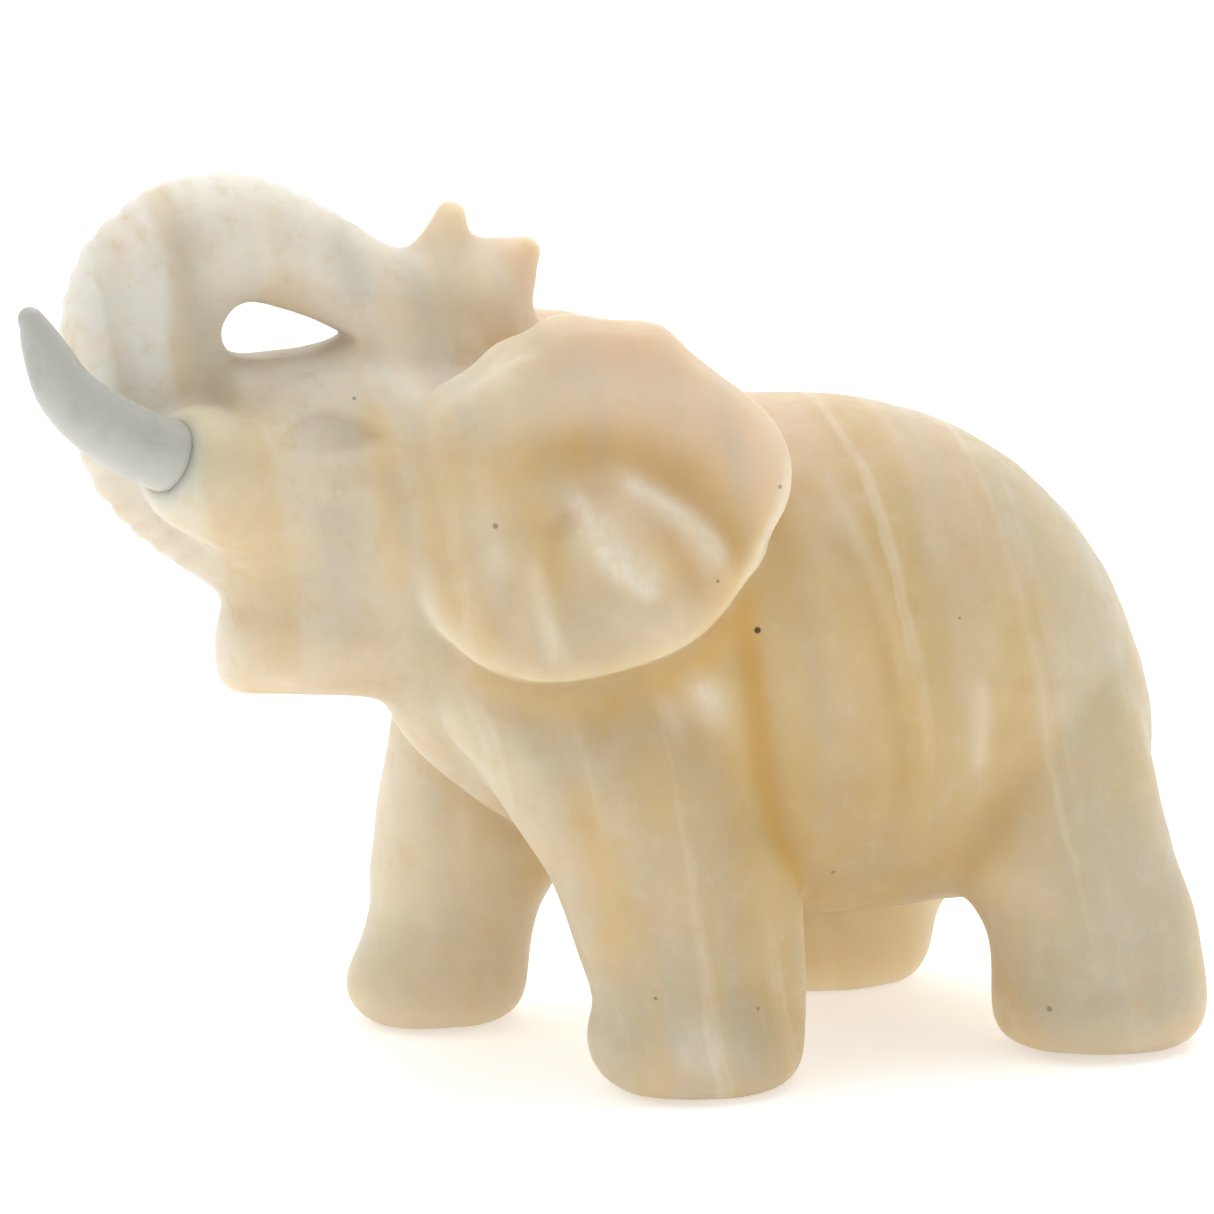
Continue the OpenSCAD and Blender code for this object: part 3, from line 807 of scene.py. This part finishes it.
fine_at = add_node(tree, "ShaderNodeMapping", {
    "Vector": sheets, "Location": (31.0, 5.0, 9.0), "Scale": (0.30, 0.008, 0.010)}).outputs[0]
fine_sheets = add_node(tree, "ShaderNodeTexNoise", {
    "Vector": fine_at, "Scale": 1.0, "Detail": 3.0, "Roughness": 0.55}).outputs["Fac"]
cloud = add_node(tree, "ShaderNodeTexNoise", {
    "Vector": lean, "Scale": 0.09, "Detail": 4.0, "Roughness": 0.6}).outputs["Fac"]
mottle = add_node(tree, "ShaderNodeTexNoise", {
    "Vector": lean, "Scale": 0.5, "Detail": 4.0, "Roughness": 0.65}).outputs["Fac"]


def measure(label):
    """A measure stored at the points of the mesh."""
    return add_node(tree, "ShaderNodeAttribute", attribute_name=label).outputs["Fac"]


def spread_out(value, start, end, low=0.0, high=1.0, smooth=True):
    """The value's run from start to end, drawn out to low to high."""
    return add_node(tree, "ShaderNodeMapRange", {
        "Value": value, "From Min": start, "From Max": end, "To Min": low, "To Max": high},
        interpolation_type="SMOOTHSTEP" if smooth else "LINEAR").outputs[0]


def tinted(base, tint, amount):
    """The base colour with some of a tint laid over it."""
    mix = add_node(tree, "ShaderNodeMix", {
        "Factor": amount, 6: base, 7: colour(tint) if isinstance(tint, str) else tint},
        data_type="RGBA")
    return mix.outputs[2]


def times(value, other):
    """One value times another."""
    return add_node(tree, "ShaderNodeMath", {0: value, 1: other}, operation="MULTIPLY").outputs[0]


length_way = add_node(tree, "ShaderNodeSeparateXYZ", {0: sheets}).outputs["X"]
half_length = float(high[0] - low[0]) / 2
body_warmth = spread_out(length_way, -half_length, half_length, smooth=False)
tone = add_node(tree, "ShaderNodeValToRGB", {"Fac": body_warmth}, stops=[
    (0.00, "#DEDBD2"), (0.20, "#E3DDCF"), (0.33, "#E0D4BD"), (0.52, "#D2C1A0"),
    (0.68, "#D5BF99"), (0.85, "#D5C3A0"), (1.00, "#D2C2A2")]).outputs["Color"]
height_way = add_node(tree, "ShaderNodeSeparateXYZ", {0: sheets}).outputs["Z"]
full_height = float(high[2] - low[2])
# The upper middle of the body is tinted warmer and paler: partly the stone's own warm tone, partly
# painted light from above
warm_top_with_painted_light = times(spread_out(height_way, 0.5 * full_height, 0.8 * full_height),
                 spread_out(body_warmth, 0.44, 0.60))
tone = tinted(tone, "#E4C8AD", times(warm_top_with_painted_light, 0.8))
pale_trunk = times(spread_out(height_way, 0.78 * full_height, 0.90 * full_height),
                   spread_out(body_warmth, 0.50, 0.38))
tone = tinted(tone, "#E6E9E7", times(pale_trunk, 0.55))
tone = tinted(tone, "#C0B6A0", spread_out(height_way, 0.34 * full_height, 0.0, 0.0, 0.75))
# Painted shade: the lower flank of the body is darkened
flank_low_painted_shade = times(spread_out(height_way, 0.44 * full_height, 0.30 * full_height),
                  times(spread_out(body_warmth, 0.54, 0.62), spread_out(body_warmth, 0.86, 0.74)))
tone = tinted(tone, "#B99F72", times(flank_low_painted_shade, 0.45))
for pattern, start, end, tint, most in (
        (broad_sheets, 0.52, 0.66, "#D2B67C", 0.5), (broad_sheets, 0.47, 0.35, "#CDC5B0", 0.5),
        (fine_sheets, 0.44, 0.30, "#C3BFB0", 0.35), (fine_sheets, 0.56, 0.72, "#EAE1CF", 0.45),
        (cloud, 0.52, 0.70, "#DDBE96", 0.35), (mottle, 0.50, 0.70, "#CDB47E", 0.3),
        (mottle, 0.50, 0.30, "#E9E0CC", 0.14)):
    tone = tinted(tone, tint, spread_out(pattern, start, end, 0.0, most))
# Painted shade: ochre in hollows and creases, dark brown on faces turned down; the ochre strokes are
# partly stains, partly painted shade in the grooves. Painted light: the inward faces of the low legs and
# the ridges are made paler. The grey strokes are the stone's own.
for label, tint, most in (
        ("painted_shade_in_hollows", "#D9B068", 0.4), ("ochre_stains_and_groove_shade", "#DDB45C", 0.75), ("grey", "#B9B8AF", 0.5),
        ("under", "#A88A5A", 0.55), ("inner", "#F3E0B6", 0.8), ("painted_shade_in_creases", "#C89A48", 0.2),
        ("painted_highlight_on_ridges", "#E8DFCC", 0.08)):
    tone = tinted(tone, tint, times(measure(label), most))
# Partly white veins, partly painted highlight on the ear's ridges and painted light in shaded places on
# the head
chalk_and_light_share = times(measure("chalk_and_painted_light"), spread_out(mottle, 0.36, 0.6, 0.55, 1.0))
tone = tinted(tone, "#F1EBDD", times(chalk_and_light_share, 0.85))
# Painted light: thin and jutting parts of the stone are made paler
tone = tinted(tone, "#DFD9C8", times(measure("thin"), 0.12))
tone = tinted(tone, "#C8C1AE", times(measure("near_tusk"), 0.6))

# Dark brown spots a fraction of a millimetre across stand for small open pits, which are not cut into
# the surface
for (a, u), pit_radius in PITS:
    facing = places[:, 1] < -2.0
    columns = np.hypot(places[:, 0] - a, places[:, 2] - u)
    spot = in_metres(places[facing][np.argmin(columns[facing] - 0.2 * np.abs(places[facing][:, 1]))])
    gap_to_pit = add_node(tree, "ShaderNodeVectorMath", {
        0: place, 1: tuple(spot)}, operation="DISTANCE").outputs["Value"]
    dark = spread_out(times(gap_to_pit, MM), pit_radius, 0.55 * pit_radius)
    tone = tinted(tone, "#4A3418", times(dark, 0.95 if pit_radius > 0.3 else 0.5))

grain = add_node(tree, "ShaderNodeTexNoise", {
    "Vector": lean, "Scale": 2.2, "Detail": 5.0, "Roughness": 0.6}).outputs["Fac"]
bump = add_node(tree, "ShaderNodeBump", {
    "Height": grain, "Strength": 0.35, "Distance": 0.00006}).outputs[0]
gloss = spread_out(mottle, 0.35, 0.65, 0.42, 0.56, smooth=False)
for name, value in {"Base Color": tone, "Roughness": gloss, "Normal": bump}.items():
    tree.links.new(value, shader.inputs[name])
set_sockets(shader, {
    "IOR": 1.55, "Specular IOR Level": 0.4, "Subsurface Weight": 1.0,
    "Subsurface Radius": (1.0, 0.76, 0.50), "Subsurface Scale": 0.005,
    "Subsurface Anisotropy": 0.2})
stone_piece.data.materials.append(onyx)
print("onyx nodes:", len(tree.nodes))

# %% [markdown]
# The tusks are cast in white resin, and are all that shows besides the stone. Each is a round bar
# whose course curves up and whose thickness tapers to a blunt point, with a thinner pin cast
# on its root. A shape that follows a path is best swept, so the course and the thickness are
# measured on the design by cutting it into slices, and Geometry Nodes sweeps a circle along.

# %% Measure a tusk's course
SLICES = 26
TIP_STEPS = (0.45, 0.75, 0.93, 1.0)


def slice_of(corner_places, faces, origin, direction):
    """Middle and radius of a round bar where a plane cuts it."""
    height = (corner_places - origin) @ direction
    cuts = []
    for a, b in ((0, 1), (1, 2), (2, 0)):
        start, end = faces[:, a], faces[:, b]
        crosses = (height[start] > 0) != (height[end] > 0)
        start, end = start[crosses], end[crosses]
        share = (height[start] / (height[start] - height[end]))[:, None]
        cuts.append(corner_places[start] + share * (corner_places[end] - corner_places[start]))
    rim = np.unique(np.vstack(cuts).round(4), axis=0)
    middle = (rim.max(axis=0) + rim.min(axis=0)) / 2
    return middle, np.linalg.norm(rim - middle, axis=1).mean()


def tusk_course(side_name):
    """Pin and tusk as places in metres with the radius at each, from pin end to tip."""
    tusk, faces = mesh_arrays(side_name + "_tusk")
    tusk = tusk * 1000.0
    hole = holes[side_name]
    middle, direction = in_metres(hole["middle"]) * 1000.0, hole["direction"]
    tip = tusk[np.argmax(np.linalg.norm(tusk - middle, axis=1))]
    heights = (tusk - middle) @ direction
    seat_height = heights[np.linalg.norm(
        tusk - middle - heights[:, None] * direction, axis=1) > hole["radius"] * 0.9].min()
    pin_end = middle + direction * heights.min()
    _, pin_radius = slice_of(tusk, faces, middle, direction)
    place, heading = middle + direction * (seat_height + 0.5), direction
    step = np.linalg.norm(tip - place) * 1.06 / SLICES
    course = [(pin_end, pin_radius - 0.25), (pin_end + direction * 0.25, pin_radius),
              (middle + direction * seat_height, pin_radius)]
    while np.linalg.norm(tip - place) > step * 0.9 and len(course) < 60:
        centre, radius = slice_of(tusk, faces, place, heading)
        if len(course) == 3:
            course.append((middle + direction * (seat_height + 0.12), radius - 0.04))
        course.append((centre, radius))
        toward = tip - centre
        if len(course) > 5:
            heading = centre - course[-2][0]
            heading /= np.linalg.norm(heading)
            pull = min(1.0, 2.2 * step / np.linalg.norm(toward))
            heading = heading * (1 - pull) + toward / np.linalg.norm(toward) * pull
            heading /= np.linalg.norm(heading)
        place = centre + heading * step
    last_centre, last_radius = course[-1]
    for share in TIP_STEPS:
        course.append((last_centre + (tip - last_centre) * share,
                       last_radius * np.sqrt(max(1 - share ** 2, 0.0004))))
    return course


courses = {side_name: tusk_course(side_name) for side_name in ("left", "right")}
for side_name, course in courses.items():
    print(side_name, "tusk:", len(course), "places, thickest",
          round(2 * max(float(radius) for _, radius in course), 2), "mm")

# %% [markdown]
# The sweep is a small node tree. The course comes in as a chain of points that carry their
# thickness, the chain becomes a curve, and a circle is swept along it at each point's size and
# closed at both ends. The number of corners round the circle and a share for the thickness are
# named inputs, so the same tree makes both tusks.

# %% The node tree that sweeps a tusk
sweep = bpy.data.node_groups.new("tusk sweep", "GeometryNodeTree")
for label, kind in (("Geometry", "NodeSocketGeometry"), ("Corners round", "NodeSocketInt"),
                    ("Thickness share", "NodeSocketFloat"), ("Finish", "NodeSocketMaterial")):
    sweep.interface.new_socket(label, in_out="INPUT", socket_type=kind)
sweep.interface.new_socket("Geometry", in_out="OUTPUT", socket_type="NodeSocketGeometry")
given = add_node(sweep, "NodeGroupInput").outputs
course_curve = add_node(sweep, "GeometryNodeMeshToCurve", {0: given["Geometry"]}).outputs[0]
thickness = add_node(sweep, "GeometryNodeInputNamedAttribute", {
    "Name": "half_thickness"}, data_type="FLOAT").outputs["Attribute"]
sized = add_node(sweep, "ShaderNodeMath", {
    0: thickness, 1: given["Thickness share"]}, operation="MULTIPLY").outputs[0]
circle = add_node(sweep, "GeometryNodeCurvePrimitiveCircle", {
    "Resolution": given["Corners round"], "Radius": 1.0}).outputs[0]
bar = add_node(sweep, "GeometryNodeCurveToMesh", {
    "Curve": course_curve, "Profile Curve": circle, "Scale": sized, "Fill Caps": True}).outputs[0]
bar = add_node(sweep, "GeometryNodeSetShadeSmooth", {"Geometry": bar, "Shade Smooth": True}).outputs[0]
bar = add_node(sweep, "GeometryNodeRealizeInstances", {"Geometry": bar}).outputs[0]
bar = add_node(sweep, "GeometryNodeSetMaterial", {
    "Geometry": bar, "Material": given["Finish"]}).outputs[0]
add_node(sweep, "NodeGroupOutput", {0: bar})
socket_of = {item.name: item.identifier for item in sweep.interface.items_tree
             if item.in_out == "INPUT"}
print("sweep inputs:", socket_of)

# %% [markdown]
# The tusks' resin is opaque white with a cool cast, a little uneven where it was rubbed after
# casting, and a touch yellow and dusty at the root where glue and handling left a trace. It is
# smoother than the stone, so its highlight is narrower.

# %% White cast resin
resin, tree, shader = new_material("white polyester resin, cast and rubbed")
place = add_node(tree, "ShaderNodeTexCoord").outputs["Object"]
rubbed = add_node(tree, "ShaderNodeTexNoise", {
    "Vector": place, "Scale": 0.35 * MM, "Detail": 4.0, "Roughness": 0.6}).outputs["Fac"]
specks = add_node(tree, "ShaderNodeTexNoise", {
    "Vector": place, "Scale": 1.6 * MM, "Detail": 3.0, "Roughness": 0.6}).outputs["Fac"]
shade = tinted(colour("#BBBBB4"), "#ABABA4", spread_out(rubbed, 0.45, 0.7, 0.0, 0.6))
shade = tinted(shade, "#C6C5BF", spread_out(specks, 0.56, 0.72, 0.0, 0.25))
shade = tinted(shade, "#CFC9B8", times(measure("root"), 0.4))
soft_bump = add_node(tree, "ShaderNodeBump", {
    "Height": rubbed, "Strength": 0.25, "Distance": 0.00008}).outputs[0]
polish = spread_out(rubbed, 0.3, 0.7, 0.36, 0.5, smooth=False)
for name, value in {"Base Color": shade, "Roughness": polish, "Normal": soft_bump}.items():
    tree.links.new(value, shader.inputs[name])
set_sockets(shader, {
    "IOR": 1.5, "Subsurface Weight": 0.35, "Subsurface Radius": (1.0, 0.9, 0.8),
    "Subsurface Scale": 0.0012})
print("resin nodes:", len(tree.nodes))

# %% [markdown]
# Each course becomes a chain of points, the node tree sweeps it, and the result is turned into
# a plain mesh with the modifier removed. How near each point is to the root is stored with the
# mesh, because the resin is dustier there.

# %% Sweep both tusks
CORNERS_ROUND = 56


def swept_tusk(side_name):
    """One tusk with its pin, swept by the node tree and turned into a plain mesh."""
    course = courses[side_name]
    middles = np.array([middle for middle, _ in course]) / 1000.0
    chain = bpy.data.meshes.new(side_name + " course")
    chain.from_pydata(middles.tolist(), [(i, i + 1) for i in range(len(course) - 1)], [])
    layer = chain.attributes.new("half_thickness", "FLOAT", "POINT")
    layer.data.foreach_set("value", [float(radius) / 1000.0 for _, radius in course])
    carrier = bpy.data.objects.new(side_name + "_cast_tusk", chain)
    bpy.context.scene.collection.objects.link(carrier)
    modifier = carrier.modifiers.new("sweep", "NODES")
    modifier.node_group = sweep
    modifier[socket_of["Corners round"]] = CORNERS_ROUND
    modifier[socket_of["Thickness share"]] = 1.0
    modifier[socket_of["Finish"]] = resin
    view = bpy.context.evaluated_depsgraph_get()
    mesh = bpy.data.meshes.new_from_object(carrier.evaluated_get(view), depsgraph=view)
    carrier.modifiers.clear()
    carrier.data = mesh
    mesh.name = carrier.name
    root = middles[4]
    points = np.empty(len(mesh.vertices) * 3)
    mesh.vertices.foreach_get("co", points)
    from_root = np.linalg.norm(points.reshape(-1, 3) - root, axis=1) * 1000.0
    layer = mesh.attributes.new("root", "FLOAT", "POINT")
    layer.data.foreach_set("value", np.clip(1 - from_root / 5.0, 0, 1).astype(np.float32))
    return carrier


for side_name in ("left", "right"):
    tusk_piece = swept_tusk(side_name)
    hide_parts(side_name + "_tusk")
    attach(tusk_piece, "root")
    print(tusk_piece.name, "faces:", len(tusk_piece.data.polygons),
          "materials:", [m.name for m in tusk_piece.data.materials])

# %% [markdown]
# The glue is taken to be clear epoxy that has gone milky with age. The stone's bead hides it
# while the tusks are in, so the design's own glue skins stay as they are and get this finish.

# %% Milky epoxy
epoxy, tree, shader = new_material("clear epoxy, aged milky")
place = add_node(tree, "ShaderNodeTexCoord").outputs["Object"]
haze = add_node(tree, "ShaderNodeTexNoise", {
    "Vector": place, "Scale": 0.8 * MM, "Detail": 3.0, "Roughness": 0.6}).outputs["Fac"]
shade = tinted(colour("#E9E2CF"), "#CDBE97", spread_out(haze, 0.4, 0.7))
tree.links.new(shade, shader.inputs["Base Color"])
tree.links.new(spread_out(haze, 0.3, 0.7, 0.3, 0.5, smooth=False), shader.inputs["Roughness"])
set_sockets(shader, {
    "IOR": 1.5, "Subsurface Weight": 0.5, "Subsurface Radius": (1.0, 0.8, 0.6),
    "Subsurface Scale": 0.001})
for side_name in ("left", "right"):
    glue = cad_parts[side_name + "_tusk_glue"]
    glue.data.materials.clear()
    glue.data.materials.append(epoxy)
    print(glue.name, "gets", epoxy.name)

# %% [markdown]
# The stage is a wide pale floor that turns up behind into a wall. It glows a little by itself,
# so that it stays pale right up to the figure. It is built square to the line of sight, which
# comes from the figure's left and a little from its front.

# %% Floor
VIEW_AROUND = -17.0
around = np.radians(VIEW_AROUND)
look_low, look_high = (Vector(corner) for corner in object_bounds())
centre = (look_low + look_high) / 2

paper, tree, shader = new_material("white seamless paper")
place = add_node(tree, "ShaderNodeTexCoord").outputs["Object"]
fibres = add_node(tree, "ShaderNodeTexNoise", {
    "Vector": place, "Scale": 0.25 * MM, "Detail": 2.0}).outputs["Fac"]
tree.links.new(tinted(colour("#FBFBFA"), "#F6F6F4", fibres), shader.inputs["Base Color"])
set_sockets(shader, {
    "Roughness": 0.9, "Specular IOR Level": 0.1, "Emission Color": colour("#FFFFFF"),
    "Emission Strength": 0.42})

FLOOR_SIZE = 3.0
FLOOR_SIDE = 30.0
WALL_TOP = 2.5
SWEEP_RADIUS = 0.8
outline = [(-FLOOR_SIZE, 0.0), (FLOOR_SIZE * 0.6, 0.0)]
for turn in np.linspace(0, np.pi / 2, 17)[1:]:
    outline.append((FLOOR_SIZE * 0.6 + SWEEP_RADIUS * np.sin(turn),
                    SWEEP_RADIUS * (1 - np.cos(turn))))
outline.append((FLOOR_SIZE * 0.6 + SWEEP_RADIUS, WALL_TOP))
back_way = Vector((-np.sin(around), np.cos(around), 0.0))
side_way = Vector((back_way.y, -back_way.x, 0.0))
floor_points = []
for out, lift in outline:
    for side in (-FLOOR_SIDE, FLOOR_SIDE):
        spot = back_way * out + side_way * side
        floor_points.append((spot.x, spot.y, look_low.z + lift))
floor_faces = [(2 * i, 2 * i + 1, 2 * i + 3, 2 * i + 2) for i in range(len(outline) - 1)]
floor = new_piece("paper_floor", np.array(floor_points), np.array(floor_faces))
floor.data.materials.append(paper)
floor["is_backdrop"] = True
print("floor faces:", len(floor_faces))

# %% [markdown]
# The light is that of a light tent. White surroundings lift every shadow, and large soft lights
# shape the stone: a strong one overhead, a weaker one high on the side of the head, and a faint
# one behind the figure that rims its back.

# %% Lights
surroundings = bpy.data.worlds.new("light tent")
surroundings.use_nodes = True
air = surroundings.node_tree.nodes["Background"]
air.inputs["Color"].default_value = colour("#FFFFFF")
air.inputs["Strength"].default_value = 0.5
bpy.context.scene.world = surroundings


def softbox(name, out, lift, side, size, power):
    """A square area light aimed at the stone; out is towards the viewer (metres)."""
    lamp = bpy.data.lights.new(name, "AREA")
    lamp.shape = "SQUARE"
    lamp.size = size
    lamp.energy = power
    light = bpy.data.objects.new(name, lamp)
    bpy.context.scene.collection.objects.link(light)
    light.location = centre - back_way * out + side_way * side + Vector((0, 0, lift))
    light.rotation_euler = (centre - light.location).to_track_quat("-Z", "Y").to_euler()


softbox("high left softbox", 0.15, 0.6, -0.5, 0.5, 1.0)
softbox("overhead", -0.15, 0.8, 0.1, 0.8, 4.0)
softbox("back rim", -0.6, 0.35, 0.0, 0.6, 0.4)

# %% [markdown]
# The camera stands to the left of the figure, turned a little towards its head and a little
# above it, and looks at its middle. The colours are wanted as on the paint chart, so the view
# gets no film look.

# %% Camera
bpy.context.scene.view_settings.view_transform = "Standard"

VIEW_UP = 11.5
VIEW_DISTANCE = 0.300
LENS = 106.75
lifted = np.radians(VIEW_UP)
towards = Vector((np.sin(around) * np.cos(lifted), -np.cos(around) * np.cos(lifted),
                  np.sin(lifted)))
aim = Vector(((look_low.x + look_high.x) / 2, (look_low.y + look_high.y) / 2, 0.038))
lens = bpy.data.cameras.new("viewer")
lens.lens = LENS
lens.sensor_width = 36.0
lens.clip_start = 0.01
viewer = bpy.data.objects.new("viewer", lens)
bpy.context.scene.collection.objects.link(viewer)
viewer.location = aim + towards * VIEW_DISTANCE
viewer.rotation_euler = (-towards).to_track_quat("-Z", "Y").to_euler()
bpy.context.scene.camera = viewer
print("camera", VIEW_DISTANCE, "m away, lens", LENS)
